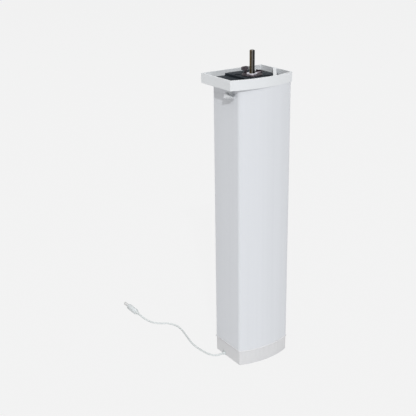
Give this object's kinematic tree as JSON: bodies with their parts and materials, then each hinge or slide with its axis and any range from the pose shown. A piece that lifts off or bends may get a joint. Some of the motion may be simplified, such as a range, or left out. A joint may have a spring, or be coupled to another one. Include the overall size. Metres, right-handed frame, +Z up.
{
  "type": "shutter and curtain track drive motor",
  "caption": "D-shaped column drive motor with a round drive pin in an open overhanging top frame, a locking lever and a thin supply lead.",
  "frame": {"origin": "the point on the standing surface under the drive pin's axis", "axes": "+Z up along the drive pin, -Y towards the curved front, -X towards the side that the frame overhangs"},
  "size_m": [0.0986, 0.1956, 0.321],
  "materials": {
    "white_coating": "satin white powder coat on extruded aluminium",
    "white_plastic": "fine moulded white plastic",
    "cap_plastic": "fine moulded off-white plastic",
    "black_plastic": "black glass-filled nylon",
    "dark_screws": "black oxide steel",
    "zinc_screws": "zinc-plated steel",
    "lever_steel": "pressed steel",
    "bright_steel": "polished steel",
    "pin_steel": "turned steel with dark brownish staining",
    "bush_steel": "bright satin steel",
    "gear_steel": "sintered steel",
    "gear_polymer": "natural acetal",
    "die_cast": "zinc die casting",
    "can_steel": "zinc-plated drawn steel",
    "magnet": "sintered ferrite",
    "bronze": "sintered bronze and brass",
    "core_steel": "laminated electrical steel",
    "copper": "enamelled copper",
    "carbon": "carbon graphite",
    "rubber": "black rubber",
    "board": "green solder mask on glass epoxy",
    "component_black": "black moulded components",
    "heat_sink": "extruded aluminium",
    "socket_nylon": "natural nylon",
    "lead_jacket": "soft white PVC",
    "plug_moulding": "moulded white PVC",
    "plug_metal": "nickel-plated brass"
  },
  "bodies": {
    "column": {"housing_profile": "white_coating", "bottom_cap": "cap_plastic", "cap_screws": "zinc_screws", "top_frame": "white_plastic", "frame_screws": "dark_screws", "head_plate": "black_plastic", "head_plate_screws": "dark_screws", "flange_bush": "bush_steel", "bearing_outer_rings": "bright_steel", "gearbox_head": "die_cast", "gearbox_case": "gear_steel", "gearbox_screws": "zinc_screws", "motor_front": "die_cast", "motor_screws": "zinc_screws", "motor_can": "can_steel", "motor_magnets": "magnet", "motor_bushes": "bronze", "brush_cap": "black_plastic", "carbon_brushes": "carbon", "encoder_board": "board", "rubber_mounts": "rubber", "control_board": "board", "board_chips": "component_black", "board_capacitors": "component_black", "driver_heat_sink": "heat_sink", "board_sockets": "socket_nylon", "setting_switch": "component_black", "inner_lead": "lead_jacket", "motor_leads": "rubber", "lead_grommet": "lead_jacket", "supply_lead": "lead_jacket", "plug_relief": "lead_jacket", "plug_body": "plug_moulding", "plug_barrel": "plug_metal"},
    "output": {"output_shaft": "pin_steel", "output_carrier": "gear_steel", "stage2_pins": "bright_steel", "bearing_inner_rings": "bright_steel", "bearing_balls": "bright_steel", "shaft_circlip": "dark_screws"},
    "carrier": {"stage1_carrier": "gear_steel", "stage1_pins": "bright_steel"},
    "rotor": {"motor_pinion": "bronze", "rotor_shaft": "bright_steel", "rotor_core": "core_steel", "rotor_windings": "copper", "commutator": "copper", "encoder_magnet": "magnet"},
    "lever": {"locking_lever": "lever_steel"},
    "button": {"setting_button": "cap_plastic"},
    "planet1_a": {"stage1_planet_a": "gear_polymer"},
    "planet1_b": {"stage1_planet_b": "gear_polymer"},
    "planet1_c": {"stage1_planet_c": "gear_polymer"},
    "planet2_a": {"stage2_planet_a": "gear_polymer"},
    "planet2_b": {"stage2_planet_b": "gear_polymer"},
    "planet2_c": {"stage2_planet_c": "gear_polymer"}
  },
  "joints": [
    {"name": "rotor_spin", "type": "hinge", "parent": "column", "child": "rotor", "pos_m": [0, 0, 0.202], "axis": [0, 0, 1], "continuous": true},
    {"name": "carrier_spin", "type": "hinge", "parent": "column", "child": "carrier", "pos_m": [0, 0, 0.255], "axis": [0, 0, 1], "continuous": true},
    {"name": "output_spin", "type": "hinge", "parent": "column", "child": "output", "pos_m": [0, 0, 0.28], "axis": [0, 0, 1], "continuous": true},
    {"name": "planet1_a_spin", "type": "hinge", "parent": "carrier", "child": "planet1_a", "pos_m": [0.009, 0, 0.2476], "axis": [0, 0, 1], "continuous": true},
    {"name": "planet1_b_spin", "type": "hinge", "parent": "carrier", "child": "planet1_b", "pos_m": [-0.0045, 0.00779, 0.2476], "axis": [0, 0, 1], "continuous": true},
    {"name": "planet1_c_spin", "type": "hinge", "parent": "carrier", "child": "planet1_c", "pos_m": [-0.0045, -0.00779, 0.2476], "axis": [0, 0, 1], "continuous": true},
    {"name": "planet2_a_spin", "type": "hinge", "parent": "output", "child": "planet2_a", "pos_m": [0.009, 0, 0.2646], "axis": [0, 0, 1], "continuous": true},
    {"name": "planet2_b_spin", "type": "hinge", "parent": "output", "child": "planet2_b", "pos_m": [-0.0045, 0.00779, 0.2646], "axis": [0, 0, 1], "continuous": true},
    {"name": "planet2_c_spin", "type": "hinge", "parent": "output", "child": "planet2_c", "pos_m": [-0.0045, -0.00779, 0.2646], "axis": [0, 0, 1], "continuous": true},
    {"name": "lever_turn", "type": "hinge", "parent": "column", "child": "lever", "pos_m": [0, 0, 0.2977], "axis": [0, 0, 1], "range_deg": [0, 40]},
    {"name": "button_press", "type": "slide", "parent": "column", "child": "button", "axis": [0, -1, 0], "range_m": [0, 0.0008], "stiffness_N_per_m": 1500}
  ],
  "couplings": [
    {"joint": "carrier_spin", "follows": "rotor_spin", "ratio": 0.2},
    {"joint": "output_spin", "follows": "rotor_spin", "ratio": 0.04},
    {"joint": "planet1_a_spin", "follows": "rotor_spin", "ratio": -0.53333},
    {"joint": "planet1_b_spin", "follows": "rotor_spin", "ratio": -0.53333},
    {"joint": "planet1_c_spin", "follows": "rotor_spin", "ratio": -0.53333},
    {"joint": "planet2_a_spin", "follows": "rotor_spin", "ratio": -0.10667},
    {"joint": "planet2_b_spin", "follows": "rotor_spin", "ratio": -0.10667},
    {"joint": "planet2_c_spin", "follows": "rotor_spin", "ratio": -0.10667}
  ]
}
